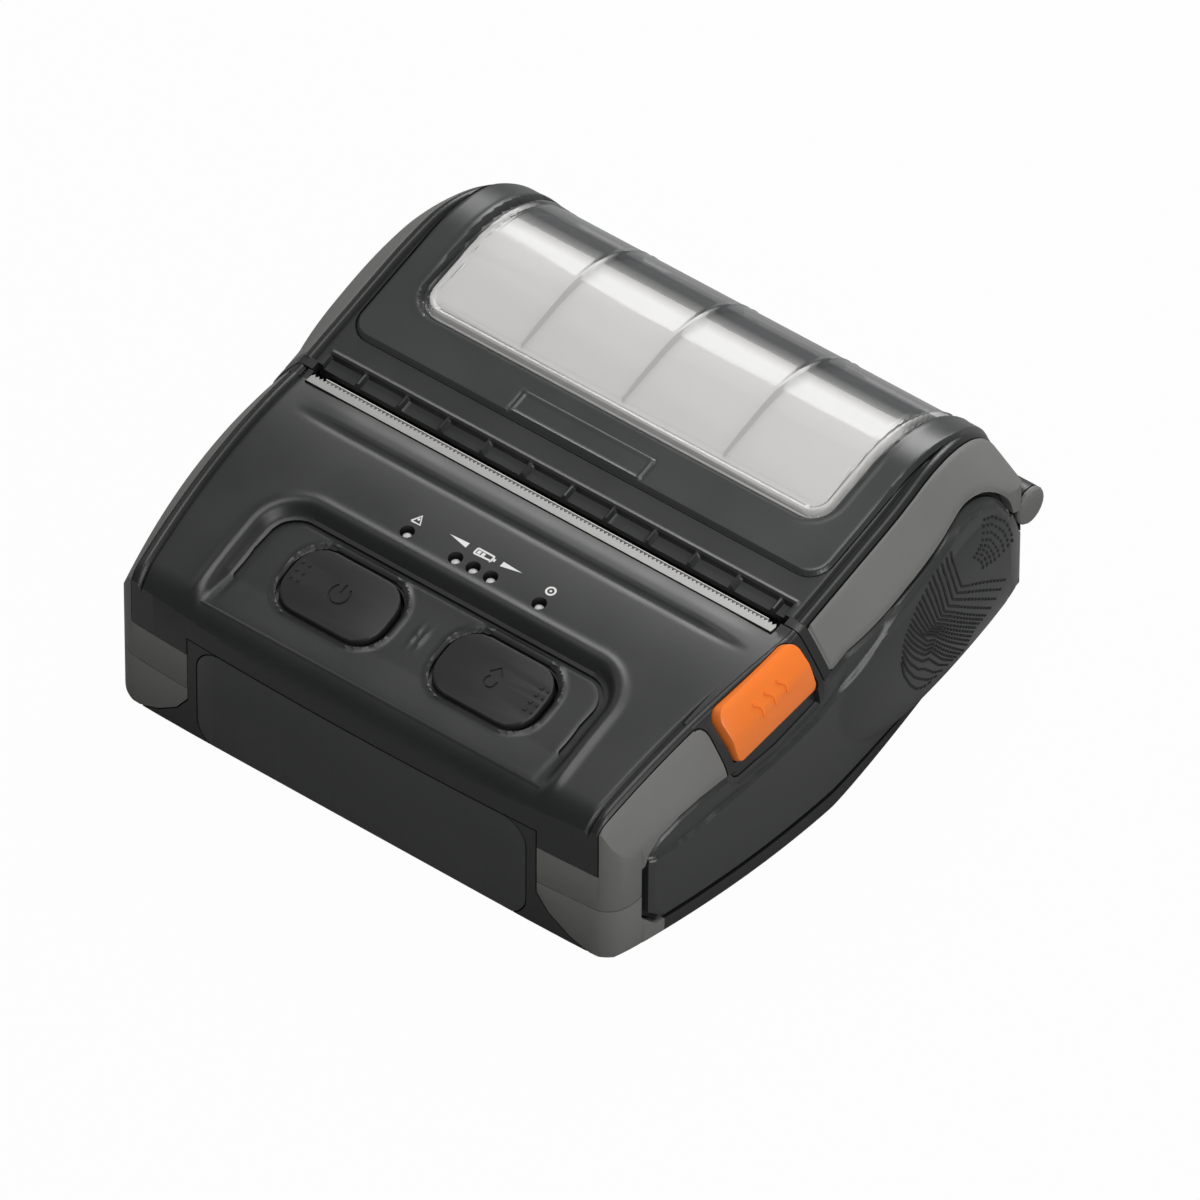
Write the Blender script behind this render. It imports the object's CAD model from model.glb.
# Looks of a rugged mobile receipt printer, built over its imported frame.
# Shapes are worked out in millimetres and turned to metres when a piece is finished.
import math

import bmesh
import bpy
from mathutils import Matrix, Vector


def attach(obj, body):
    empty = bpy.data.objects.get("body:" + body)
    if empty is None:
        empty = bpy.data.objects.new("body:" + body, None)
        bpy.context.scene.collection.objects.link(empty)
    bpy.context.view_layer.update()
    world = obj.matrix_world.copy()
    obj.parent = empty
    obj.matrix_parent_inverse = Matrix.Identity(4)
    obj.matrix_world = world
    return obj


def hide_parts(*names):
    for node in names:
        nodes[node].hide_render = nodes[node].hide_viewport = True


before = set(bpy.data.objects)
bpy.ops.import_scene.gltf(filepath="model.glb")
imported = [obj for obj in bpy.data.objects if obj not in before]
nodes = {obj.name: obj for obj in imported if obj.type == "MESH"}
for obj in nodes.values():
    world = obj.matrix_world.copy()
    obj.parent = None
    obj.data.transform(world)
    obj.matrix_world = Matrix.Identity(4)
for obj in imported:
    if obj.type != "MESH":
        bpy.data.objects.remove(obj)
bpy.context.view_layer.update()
scene = bpy.context.scene
metre = 0.001
quarter = math.pi / 2
# How far the cutting tools reach past the part, sideways and up, in mm
far, sky = 130, 110

# Long lens from the right, well above the deck
cameraSet = {
    "target": (0.0, -9.25, -3.08),
    "azimuth": 38.317,
    "elevation": 43.5,
    "roll": 0.112,
    "distance": 4169.0,
    "focal": 628.4,
    "shift": (0.0507, 0.0753),
}


def makeCamera():
    azimuth, elevation = math.radians(cameraSet["azimuth"]), math.radians(cameraSet["elevation"])
    away = Vector((
        math.sin(azimuth) * math.cos(elevation),
        -math.cos(azimuth) * math.cos(elevation),
        math.sin(elevation)))
    data = bpy.data.cameras.new("photoCamera")
    data.lens = cameraSet["focal"]
    data.sensor_width = 36
    data.shift_x, data.shift_y = cameraSet["shift"]
    data.clip_end = 20
    camera = bpy.data.objects.new("photoCamera", data)
    scene.collection.objects.link(camera)
    turn = (-away).to_track_quat("-Z", "Y").to_matrix().to_4x4()
    roll = Matrix.Rotation(math.radians(cameraSet["roll"]), 4, "Z")
    place = (Vector(cameraSet["target"]) + away * cameraSet["distance"]) * metre
    camera.matrix_world = Matrix.Translation(place) @ turn @ roll
    scene.camera = camera


makeCamera()
scene.view_settings.view_transform = "Standard"


def linear(code):
    channels = [int(code[i:i + 2], 16) / 255 for i in (1, 3, 5)]
    return tuple(c / 12.92 if c <= 0.04045 else ((c + 0.055) / 1.055) ** 2.4 for c in channels) + (1.0,)


def addNode(tree, kind, settings=None, links=None):
    node = tree.nodes.new(kind)
    for key, value in (settings or {}).items():
        if isinstance(key, int) or key in node.inputs:
            node.inputs[key].default_value = value
        else:
            setattr(node, key, value)
    for key, source in (links or {}).items():
        tree.links.new(source, node.inputs[key])
    return node


# Dim white room with four soft boxes; the room shows white where it is seen directly
studio = {
    "room": 0.14,
    "lamps": {
        "backSoftbox": {"at": (-140, 640, 560), "to": (20, 20, 30), "size": (620, 420), "power": 5.0},
        "leftSoftbox": {"at": (-640, -60, 420), "to": (0, 0, 30), "size": (380, 520), "power": 0.35},
        "rightFill": {"at": (700, -260, 300), "to": (40, 0, 20), "size": (420, 420), "power": 2.4},
        "topSoftbox": {"at": (60, -80, 900), "to": (0, 0, 20), "size": (520, 520), "power": 3.3},
    },
}


def placeLights():
    world = bpy.data.worlds.new("studio")
    world.use_nodes = True
    scene.world = world
    tree = world.node_tree
    background = tree.nodes["Background"]
    path = addNode(tree, "ShaderNodeLightPath")
    seen = addNode(tree, "ShaderNodeMath", {"operation": "MAXIMUM"},
                   {0: path.outputs["Is Camera Ray"], 1: path.outputs["Is Transmission Ray"]})
    level = addNode(tree, "ShaderNodeMapRange", {"To Min": studio["room"], "To Max": 1.0},
                    {"Value": seen.outputs[0]})
    background.inputs["Color"].default_value = (1, 1, 1, 1)
    tree.links.new(level.outputs["Result"], background.inputs["Strength"])
    for name, lamp in studio["lamps"].items():
        data = bpy.data.lights.new(name, "AREA")
        data.shape = "RECTANGLE"
        data.size, data.size_y = [side * metre for side in lamp["size"]]
        data.energy = lamp["power"]
        light = bpy.data.objects.new(name, data)
        scene.collection.objects.link(light)
        towards = Vector(lamp["to"]) - Vector(lamp["at"])
        turn = towards.to_track_quat("-Z", "Y").to_matrix().to_4x4()
        light.matrix_world = Matrix.Translation(Vector(lamp["at"]) * metre) @ turn


placeLights()

# Matt white paper sweep: it keeps a soft shadow and otherwise melts into the white room
floorLook = {"reach": 3.0, "colour": "#9a9a9a", "roughness": 0.9, "glow": 0.98}


def newMaterial(name, settings):
    material = bpy.data.materials.new(name)
    material.use_nodes = True
    tree = material.node_tree
    shader = tree.nodes["Principled BSDF"]
    for key, value in settings.items():
        shader.inputs[key].default_value = value
    return tree, shader


def makeFloor():
    mesh = bpy.data.meshes.new("floor")
    reach = floorLook["reach"]
    corners = [(-reach, -reach, 0), (reach, -reach, 0), (reach, reach, 0), (-reach, reach, 0)]
    mesh.from_pydata(corners, [], [(0, 1, 2, 3)])
    floor = bpy.data.objects.new("floor", mesh)
    scene.collection.objects.link(floor)
    look = {"Base Color": linear(floorLook["colour"]), "Roughness": floorLook["roughness"]}
    tree, shader = newMaterial("whitePaperSweep", look)
    seen = addNode(tree, "ShaderNodeLightPath").outputs["Is Camera Ray"]
    glow = addNode(tree, "ShaderNodeEmission", {"Color": (1, 1, 1, 1), "Strength": 1.0})
    share = addNode(tree, "ShaderNodeMath", {"operation": "MULTIPLY", 1: floorLook["glow"]}, {0: seen})
    shaders = {0: share.outputs[0], 1: shader.outputs[0], 2: glow.outputs[0]}
    both = addNode(tree, "ShaderNodeMixShader", {}, shaders)
    tree.links.new(both.outputs[0], tree.nodes["Material Output"].inputs["Surface"])
    mesh.materials.append(bpy.data.materials["whitePaperSweep"])


makeFloor()
print("camera, lights and floor are in place")


def pattern(tree, scale, detail, roughness=0.5, stretch=(1.0, 1.0, 1.0)):
    # cloudy pattern that keeps its place on the piece, its scale in cells to the metre
    place = addNode(tree, "ShaderNodeTexCoord").outputs["Object"]
    drawn = addNode(tree, "ShaderNodeMapping", {"Scale": stretch}, {"Vector": place}).outputs["Vector"]
    settings = {"Scale": scale, "Detail": detail, "Roughness": roughness}
    return addNode(tree, "ShaderNodeTexNoise", settings, {"Vector": drawn}).outputs["Fac"]


def mapped(tree, value, low, high, start=0.0, end=1.0):
    settings = {"From Min": start, "From Max": end, "To Min": low, "To Max": high}
    return addNode(tree, "ShaderNodeMapRange", settings, {"Value": value}).outputs["Result"]


def tinted(tree, shader, value, first, second):
    colours = {"data_type": "RGBA", 6: linear(first), 7: linear(second)}
    tint = addNode(tree, "ShaderNodeMix", colours, {0: value})
    tree.links.new(tint.outputs[2], shader.inputs["Base Color"])


def bumped(tree, shader, height, strength, distance):
    bump = addNode(tree, "ShaderNodeBump", {"Strength": strength, "Distance": distance}, {"Height": height})
    tree.links.new(bump.outputs["Normal"], shader.inputs["Normal"])


def mouldedSurface(name, dark, light, grain, depth, rough, drift, ior):
    tree, shader = newMaterial(name, {"IOR": ior})
    speckle = pattern(tree, 1 / (grain * metre), 2.0, 0.6)
    cloud = pattern(tree, 45.0, 4.0)
    bumped(tree, shader, speckle, 0.6, depth * metre)
    tree.links.new(mapped(tree, cloud, rough - drift, rough + drift, 0.3, 0.7), shader.inputs["Roughness"])
    tinted(tree, shader, cloud, dark, light)


# Two colours, the width and height of the moulded grain in mm, roughness, its drift, refraction
moulded = {
    # spark-eroded polycarbonate blend: near black, with a soft sheen that breaks up into fine grain
    "texturedPolycarbonate": ("#1c1d1d", "#222323", 0.45, 0.018, 0.4, 0.04, 1.58),
    # finer mould texture on the same blend: a lighter black with a clearer, longer highlight
    "satinPolycarbonate": ("#303131", "#383939", 0.6, 0.012, 0.34, 0.04, 1.58),
    # polished mould surface: deep black that shows the soft boxes as narrow lines
    "glossPolycarbonate": ("#101111", "#151616", 0.8, 0.006, 0.16, 0.03, 1.58),
    # overmoulded thermoplastic elastomer: mid grey, matt, without sparkle
    "greyElastomer": ("#6c6c6a", "#767674", 0.5, 0.025, 0.6, 0.05, 1.5),
    # moulded glass-filled nylon inside: dark grey and dull
    "filledNylon": ("#1f2020", "#272828", 0.6, 0.02, 0.55, 0.05, 1.53),
    # moulded silicone: dark and dry, slightly soft at its edges
    "mouldedSilicone": ("#1e1f1e", "#242524", 0.4, 0.015, 0.42, 0.05, 1.43),
    # moulded nitrile rubber: feet, roller, seals and grip ridges, quite dull
    "nitrileRubber": ("#101010", "#161616", 0.5, 0.03, 0.6, 0.06, 1.52),
    # moulded acetal: milky white and slightly waxy
    "mouldedAcetal": ("#d6d5cf", "#e2e1db", 0.6, 0.01, 0.36, 0.04, 1.48),
    # diffusing polycarbonate light guides: cloudy white, low in their holes
    "cloudyPolycarbonate": ("#c9cbc8", "#dcdedb", 0.3, 0.01, 0.25, 0.03, 1.58),
    # solder-masked fibreglass board: even green gloss with a faint weave
    "solderMask": ("#174a2f", "#1f5a3a", 0.7, 0.015, 0.32, 0.05, 1.55),
    # moulded signal-orange ABS: even colour with a soft highlight
    "orangeAbs": ("#fc7a26", "#ff8a38", 0.5, 0.012, 0.34, 0.04, 1.54),
    # pad-printed white ink: flat and slightly chalky on the plastic
    "padPrintedInk": ("#d8d8d6", "#e4e4e2", 0.4, 0.008, 0.5, 0.03, 1.5),
}
for name, look in moulded.items():
    mouldedSurface(name, *look)


def drawnMetal(name, dark, light, rough, run):
    # run stretches the drawing lines along X, 0 leaves them even
    tree, shader = newMaterial(name, {"Metallic": 1.0})
    lines = pattern(tree, 2600.0, 3.0, stretch=(1.0 - 0.97 * run, 1.0, 1.0))
    tree.links.new(mapped(tree, lines, rough - 0.06, rough + 0.1), shader.inputs["Roughness"])
    tinted(tree, shader, lines, dark, light)
    bumped(tree, shader, lines, 0.3, 0.01 * metre)


# Stamped stainless strip: bright, with fine drawing lines along its length
drawnMetal("drawnStainless", "#7f7f7d", "#949492", 0.45, 1)
# Zinc-plated pressed steel: greyer and even
drawnMetal("zincSteel", "#8f9193", "#a9abad", 0.36, 0)


def makePaper():
    # Calendered thermal paper: warm white and smooth, with faint cloudiness from its fibres
    tree, shader = newMaterial("calenderedPaper", {"Roughness": 0.6, "IOR": 1.5})
    tinted(tree, shader, pattern(tree, 120.0, 3.0), "#efedea", "#f8f6f3")
    bumped(tree, shader, pattern(tree, 1500.0, 3.0), 0.25, 0.02 * metre)


def makeWindowMaterial():
    # Polished polycarbonate with a faint milky haze: the paper looks even behind it face on, and it
    # turns to a dark gloss where it curves away
    tree, shader = newMaterial("clearPolycarbonate", {"IOR": 1.586})
    facing = addNode(tree, "ShaderNodeLayerWeight", {"Blend": 0.3}).outputs["Facing"]
    tinted(tree, shader, mapped(tree, facing, 0.0, 1.0, 0.24, 0.38), "#fdfcfa", "#5c5d5e")
    tree.links.new(mapped(tree, facing, 0.42, 0.96, 0.34, 0.6), shader.inputs["Alpha"])
    tree.links.new(mapped(tree, pattern(tree, 60.0, 3.0), 0.03, 0.09), shader.inputs["Roughness"])


makePaper()
makeWindowMaterial()
print("materials are made")

# The outer form: places along Y and Z in mm, the same as the solids
form = {
    "depth": 133.5, "halfWidth": 70.3, "foot": 0.8, "wall": 2.4, "gap": 0.3,
    "crownRadius": 27.0, "crownHeight": 59.5, "rearClearance": 1.0, "lidSlope": math.radians(15),
    "split": 0.4307, "widest": 0.4625, "borderBend": 0.6498, "borderRearShare": 0.2622,
    "deckRadius": 135.0, "noseRadius": 10.0, "chinRadius": 3.0, "heelLength": 24.0,
    "frontBow": 1.6, "frontCorner": 7.0, "frontInset": 6.0, "rearCorner": 14.0, "rearHalfWidth": 69.6,
    "frontTaper": 7.5, "rearTuck": 15.0, "tuckHeight": 30.0, "sill": 2.6, "planReach": 140, "overlap": 0.03,
    "border": 63.2, "borderFront": 4.6, "borderRear": 3.7,
    "shoulderDrop": 8.4, "shoulderRound": 2.4, "shoulderBlend": 5.6,
    "grip": (30.0, 27.0), "gripReach": (33.0, 20.0), "gripSwell": 3.1,
    "hinge": (62.55, 33.8), "barrel": 4.2,
    "seamRadius": 15.1, "seamOffset": 0.45, "seamHeight": 36.6, "seamSlope": math.radians(16.5),
}
frontFace = -form["depth"] / 2
rearFace = form["depth"] / 2
rearShell = rearFace - form["rearClearance"]
splitY = frontFace + form["depth"] * form["split"]
crownY = rearShell - form["crownRadius"]
crownZ = form["crownHeight"] - form["crownRadius"]
lidStartY = crownY - form["crownRadius"] * math.sin(form["lidSlope"])
lidStartZ = crownZ + form["crownRadius"] * math.cos(form["lidSlope"])
splitHeight = lidStartZ - (lidStartY - splitY) * math.tan(form["lidSlope"])
deckCentreZ = splitHeight - form["deckRadius"]
noseY = frontFace + form["noseRadius"]
noseZ = deckCentreZ + math.sqrt((form["deckRadius"] - form["noseRadius"]) ** 2 - (noseY - splitY) ** 2)
noseTilt = math.asin((splitY - noseY) / (form["deckRadius"] - form["noseRadius"]))
noseTangent = noseY - form["noseRadius"] * math.sin(noseTilt)
widestY = frontFace + form["depth"] * form["widest"]
hingeY, hingeZ = form["hinge"]
gap, halfGap, wall = form["gap"], form["gap"] / 2, form["wall"]


def roof(y):
    # height of the top along the middle, and the way it faces
    if y < noseTangent:
        lean = max((y - noseY) / form["noseRadius"], -1)
        rise = math.sqrt(1 - lean ** 2)
        return noseZ + form["noseRadius"] * rise, (lean, rise)
    if y < splitY:
        lean = (y - splitY) / form["deckRadius"]
        rise = math.sqrt(1 - lean ** 2)
        return deckCentreZ + form["deckRadius"] * rise, (lean, rise)
    slope = form["lidSlope"]
    if y < lidStartY:
        return lidStartZ - (lidStartY - y) * math.tan(slope), (-math.sin(slope), math.cos(slope))
    lean = min((y - crownY) / form["crownRadius"], 1)
    rise = math.sqrt(1 - lean ** 2)
    return crownZ + form["crownRadius"] * rise, (lean, rise)


def topHeight(y):
    # as roof, but with the deck carried on over the nose
    if y < splitY:
        return deckCentreZ + math.sqrt(form["deckRadius"] ** 2 - (y - splitY) ** 2)
    return roof(y)[0]


def borderAt(y):
    front = max((splitY - y) / (splitY - frontFace), 0)
    bend = frontFace + form["depth"] * form["borderBend"]
    rear = max((y - bend) / (form["depth"] * form["borderRearShare"]), 0)
    return form["border"] - form["borderFront"] * front ** 1.3 - form["borderRear"] * rear ** 2


def sideAt(y, z):
    setback = widestY - frontFace
    front = max((widestY - y) / setback, 0)
    rear = max((y - widestY) / (form["depth"] - setback), 0)
    low = max((form["tuckHeight"] - z) / form["tuckHeight"], 0)
    (gripY, gripZ), (reachY, reachZ) = form["grip"], form["gripReach"]
    reach = ((y - gripY) / reachY) ** 2 + ((z - gripZ) / reachZ) ** 2
    swell = max(1 - reach ** 2, 0) * form["gripSwell"]
    taper, tuck = form["frontTaper"] * front ** 2, form["rearTuck"] * rear ** 1.2 * low ** 2
    return form["halfWidth"] - taper - tuck + swell


def ease(value):
    value = min(max(value, 0), 1)
    return value * value * (3 - 2 * value)


def bead(distance, width):
    return math.exp(-(distance / width) ** 2)


def spread(low, high, steps):
    return [low + (high - low) * i / steps for i in range(steps + 1)]


def arc(cx, cy, rx, ry, start, end, steps):
    return [(cx + rx * math.cos(turn), cy + ry * math.sin(turn)) for turn in spread(start, end, steps)]


def circle(cx, cy, radius, steps):
    return arc(cx, cy, radius, radius, 0, 4 * quarter, steps)[:-1]


def roundedBox(x0, y0, x1, y1, r, steps=10):
    return (arc(x1 - r, y0 + r, r, r, -quarter, 0, steps) + arc(x1 - r, y1 - r, r, r, 0, quarter, steps)
            + arc(x0 + r, y1 - r, r, r, quarter, 2 * quarter, steps)
            + arc(x0 + r, y0 + r, r, r, 2 * quarter, 3 * quarter, steps))


def intoBox(x, y, size):
    # how far a point is inside a rounded box (x0, y0, x1, y1, r), negative outside
    x0, y0, x1, y1, r = size
    dx = abs(x - (x0 + x1) / 2) - (x1 - x0) / 2 + r
    dy = abs(y - (y0 + y1) / 2) - (y1 - y0) / 2 + r
    return r - math.hypot(max(dx, 0), max(dy, 0)) - min(max(dx, dy), 0)


def nearestTo(points, x, y):
    # distance from a point to an open line
    best = 1e9
    for (ax, ay), (bx, by) in zip(points, points[1:]):
        dx, dy = bx - ax, by - ay
        share = min(max(((x - ax) * dx + (y - ay) * dy) / (dx * dx + dy * dy), 0), 1)
        best = min(best, math.hypot(x - ax - dx * share, y - ay - dy * share))
    return best


def heightOn(points, y):
    # second coordinate of an open line at a first coordinate, held level past its ends
    if y <= points[0][0]:
        return points[0][1]
    for (ay, az), (by, bz) in zip(points, points[1:]):
        if y <= by:
            return az + (bz - az) * (y - ay) / (by - ay)
    return points[-1][1]


def drawnIn(points, distance):
    # closed outline moved inwards, with mitred corners
    if not distance:
        return list(points)
    count = len(points)
    normals = []
    for i in range(count):
        dx, dy = points[(i + 1) % count][0] - points[i][0], points[(i + 1) % count][1] - points[i][1]
        size = math.hypot(dx, dy)
        normals.append((-dy / size, dx / size))
    moved = []
    for i in range(count):
        a, b = normals[i - 1], normals[i]
        share = distance / (1 + a[0] * b[0] + a[1] * b[1])
        moved.append((points[i][0] + (a[0] + b[0]) * share, points[i][1] + (a[1] + b[1]) * share))
    return moved


def softened(points, rounds):
    # open line with its corners cut off, again and again
    for _ in range(rounds):
        cut = [points[0]]
        for a, b in zip(points, points[1:]):
            cut += [(0.75 * a[0] + 0.25 * b[0], 0.75 * a[1] + 0.25 * b[1]),
                    (0.25 * a[0] + 0.75 * b[0], 0.25 * a[1] + 0.75 * b[1])]
        points = cut + [points[-1]]
    return points


def shoulderLine(y):
    # from the side wall up over the shoulder to just inside the border
    top, border = topHeight(y), borderAt(y)
    foot = top - form["shoulderDrop"] - form["shoulderBlend"]
    side, rnd = sideAt(y, foot), form["shoulderRound"]
    return [
        (side, foot),
        (side - (side - border) * 0.04, top - form["shoulderDrop"] - rnd),
        (side - (side - border) * 0.16, top - form["shoulderDrop"]),
        (border + rnd * 0.2, top - rnd * 0.3),
        (border - rnd * 0.4, top),
        (border - rnd * 1.4, top),
    ]


def sillLine(y, inset):
    foot, sill = form["foot"], form["sill"]
    side = sideAt(y, foot + sill)
    return [(0, foot), (side - sill - inset, foot), (side - sill * 0.7, foot + sill * 0.3)]


def wallLine(y, levels):
    low = form["foot"] + form["sill"]
    high = topHeight(y) - form["shoulderDrop"] - form["shoulderBlend"]
    return [(sideAt(y, z), z) for z in spread(low, high, levels)]


def sectionOutline(y):
    half = sillLine(y, 0) + wallLine(y, 7) + shoulderLine(y)[1:-1] + [(0, topHeight(y))]
    return half + [(-x, z) for x, z in reversed(half[1:-1])]


def sideOutline(whole):
    # whole takes in nose and crown, which the finer forms have in their rings
    chin, heel, foot = form["chinRadius"], form["heelLength"], form["foot"]
    outline = arc(rearShell - heel, crownZ, heel, crownZ - foot, -quarter, 0, 8 if whole else 30)
    if whole:
        nose, crown, top = form["noseRadius"], form["crownRadius"], form["deckRadius"]
        outline += arc(crownY, crownZ, crown, crown, 0, quarter + form["lidSlope"], 12)[1:]
        outline += arc(splitY, deckCentreZ, top, top, quarter, quarter + noseTilt, 8)
        outline += arc(noseY, noseZ, nose, nose, quarter + noseTilt, 2 * quarter, 6)[1:]
        return outline + arc(frontFace + chin, foot + chin, chin, chin, 2 * quarter, 3 * quarter, 3)
    past = form["overlap"]
    outline += [(rearShell + 0.8, crownZ + 0.6), (rearShell + 0.8, 100), (frontFace - past, 100)]
    return outline + arc(frontFace + chin, foot + chin, chin + past, chin, 2 * quarter, 3 * quarter, 8)


def planOutline(steps):
    corner, rear, bow = form["frontCorner"], form["rearCorner"], form["frontBow"]
    cornerX, cornerY = form["halfWidth"] - form["frontInset"] - corner, frontFace + bow + corner
    right = [(cornerX * share, frontFace + bow * share ** 2) for share in spread(0, 1, steps)[:-1]]
    right += arc(cornerX, cornerY, corner, corner, -quarter, 0, 12) + [(form["planReach"], widestY)]
    right += arc(form["rearHalfWidth"] - rear, rearShell + 0.02 - rear, rear, rear, 0, quarter, steps + 2)
    return right + [(-x, y) for x, y in reversed(right[1:])]


def linked(name, mesh):
    piece = bpy.data.objects.new(name, mesh)
    scene.collection.objects.link(piece)
    return piece


def solid(name, points, faces):
    mesh = bpy.data.meshes.new(name)
    mesh.from_pydata(points, [], faces)
    work = bmesh.new()
    work.from_mesh(mesh)
    bmesh.ops.recalc_face_normals(work, faces=work.faces)
    work.to_mesh(mesh)
    work.free()
    return linked(name, mesh)


def loft(name, rings):
    count = len(rings[0])
    points = [p for ring in rings for p in ring]
    steps = [(i * count, (i + 1) * count) for i in range(len(rings) - 1)]
    faces = [(a + j, a + (j + 1) % count, b + (j + 1) % count, b + j) for a, b in steps for j in range(count)]
    faces += [tuple(range(count)), tuple(range(len(points) - count, len(points)))]
    return solid(name, points, faces)


def prism(outline, low, high, axis):
    # X takes (y, z) points, Y takes (x, z) and Z takes (x, y)
    order = {"X": (2, 0, 1), "Y": (0, 2, 1), "Z": (0, 1, 2)}[axis]
    rings = [[tuple((a, b, level)[i] for i in order) for a, b in outline] for level in (low, high)]
    return loft("prism", rings)


def upward(outline, low=20, high=sky):
    return prism(outline, low, high, "Z")


def sideways(outline, low=-130, high=130):
    return prism(outline, low, high, "X")


def applied(piece):
    # puts the modifiers' work into the mesh
    made = bpy.data.meshes.new_from_object(piece.evaluated_get(bpy.context.evaluated_depsgraph_get()))
    piece.modifiers.clear()
    old, piece.data = piece.data, made
    bpy.data.meshes.remove(old)
    return piece


def combine(piece, others, operation):
    # the other pieces are used up
    for other in others:
        change = piece.modifiers.new("change", "BOOLEAN")
        change.operation, change.object, change.solver = operation, other, "MANIFOLD"
        applied(piece)
        bpy.data.objects.remove(other)
    return piece


def keep(piece, *others):
    return combine(piece, others, "INTERSECT")


def cutAway(piece, *others):
    return combine(piece, others, "DIFFERENCE")


def joined(piece, *others):
    return combine(piece, others, "UNION")


def rounded(piece, width, segments, angle=40, miter="MITER_SHARP"):
    bevel = piece.modifiers.new("edge", "BEVEL")
    bevel.width, bevel.segments, bevel.miter_outer = width, segments, miter
    bevel.limit_method, bevel.angle_limit = "ANGLE", math.radians(angle)
    return applied(piece)


def mirroredCopy(piece):
    mesh = piece.data.copy()
    mesh.transform(Matrix.Scale(-1, 4, (1, 0, 0)))
    mesh.flip_normals()
    return linked("mirrored", mesh)


plainForms = {}
plainStations = (-0.02, 0.05, 0.13, 0.22, 0.32, 0.43, 0.5, 0.57, 0.64, 0.7, 0.75, 0.8, 0.85, 0.89, 0.93, 0.96,
                 0.98, 1.02)


def plainForm(distance):
    # the outer form in few faces, drawn in by a distance
    if distance not in plainForms:
        rings = []
        for share in plainStations:
            y = frontFace + (rearShell - frontFace) * share
            rings.append([(x, y, z) for x, z in drawnIn(sectionOutline(y), distance)])
        whole = loft("plainForm", rings)
        side = sideways(drawnIn(sideOutline(True), distance), -140, 140)
        plan = upward(drawnIn(planOutline(5), distance), -20, 100)
        plainForms[distance] = keep(whole, side, plan)
    return linked("plainCopy", plainForms[distance].data.copy())


noseStations = [frontFace - 0.4] + [noseY - form["noseRadius"] * math.cos(turn)
                                    for turn in spread(0, quarter - noseTilt, 20)[:-1]]
crownStations = [crownY + form["crownRadius"] * math.sin(turn)
                 for turn in spread(-form["lidSlope"], quarter, 52)] + [rearShell + 3]


def level(y, z):
    return 0


def fineForm(stations, across, levels, relief=level, sideRelief=level):
    # the outer form with rings at the stations; relief(x, y) lifts the top along its own facing,
    # sideRelief(y, z) moves the side walls out
    rings = []
    for y in stations:
        height, (lean, rise) = roof(y)
        shoulder = []
        line = softened(shoulderLine(y), 2)
        for a, b in zip(line, line[1:]):
            shoulder += [a, ((a[0] + b[0]) / 2, (a[1] + b[1]) / 2)]
        edge = line[-1][0]
        ring = []
        for sign in (1, -1):
            half = [(sign * x, y, z) for x, z in sillLine(y, 3)[1:]]
            half += [(sign * (x + sideRelief(y, z)), y, min(z, height)) for x, z in wallLine(y, levels)]
            for x, z in shoulder[1:]:
                lift = relief(sign * x, y)
                outward = x + sideRelief(y, z)
                half.append((sign * outward, y + lean * lift, min(z, height) + rise * lift))
            ring.append(half)
        lifts = [(x, relief(x, y)) for x in spread(edge, -edge, across)]
        top = [(x, y + lean * lift, height + rise * lift) for x, lift in lifts]
        rings.append([(0, y, form["foot"])] + ring[0] + top + ring[1][::-1])
    whole = loft("fineForm", rings)
    return keep(whole, sideways(sideOutline(False), -140, 140), upward(planOutline(48), -20, 100))


def insideBorder(distance, y0, y1):
    right = [(borderAt(y) + distance, y) for y in spread(y0, y1, 60)]
    return upward(right + [(-x, y) for x, y in reversed(right)], -20)


def rod(radius, x0, x1, y, z, steps=48):
    return sideways(circle(y, z, radius, steps), x0, x1)


def hingeRod(radius, x0, x1, steps=48):
    return rod(radius, x0, x1, hingeY, hingeZ, steps)


def post(radius, x, y, low, high, steps=32):
    return upward(circle(x, y, radius, steps), low, high)


def stroke(points, width):
    # closed outline of a line drawn with a square-ended pen of some width
    left, right = [], []
    for i, (x, y) in enumerate(points):
        (ax, ay), (bx, by) = points[max(i - 1, 0)], points[min(i + 1, len(points) - 1)]
        size = math.hypot(bx - ax, by - ay)
        nx, ny = (ay - by) / size * width / 2, (bx - ax) / size * width / 2
        left.append((x + nx, y + ny))
        right.append((x - nx, y - ny))
    return right + left[::-1]


def box(x0, y0, x1, y1):
    return [(x0, y0), (x1, y0), (x1, y1), (x0, y1)]


def bandAcross(lower, upper, y0, y1, steps=60):
    # block between two heights over the width of the part
    places = spread(y0, y1, steps)
    outline = [(y, lower(y)) for y in places] + [(y, upper(y)) for y in places[::-1]]
    return sideways(outline, -60, 60)


def finished(piece, name, material, body, replaces=None, edge=0, angle=32):
    # rounds the edges, shades it, turns it to metres and seats it on its body
    piece.name = name
    work = bmesh.new()
    work.from_mesh(piece.data)
    bmesh.ops.remove_doubles(work, verts=work.verts, dist=0.004)
    bmesh.ops.dissolve_degenerate(work, edges=work.edges, dist=0.004)
    work.to_mesh(piece.data)
    work.free()
    if edge:
        rounded(piece, edge, 2, angle, "MITER_ARC")
    piece.data.name = name
    piece.data.transform(Matrix.Scale(metre, 4))
    piece.data.shade_smooth()
    piece.data.set_sharp_from_angle(angle=math.radians(angle))
    piece.data.materials.clear()
    piece.data.materials.append(bpy.data.materials[material])
    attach(piece, body)
    if replaces:
        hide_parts(replaces)


def finishedPair(piece, name, material, body, replaces=None, edge=0):
    # the piece for the right side and its mirrored copy for the left
    for half, side in ((mirroredCopy(piece), "Left"), (piece, "Right")):
        node = replaces + "_" + side.lower() if replaces else None
        finished(half, name + side, material, body, node, edge)


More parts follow.
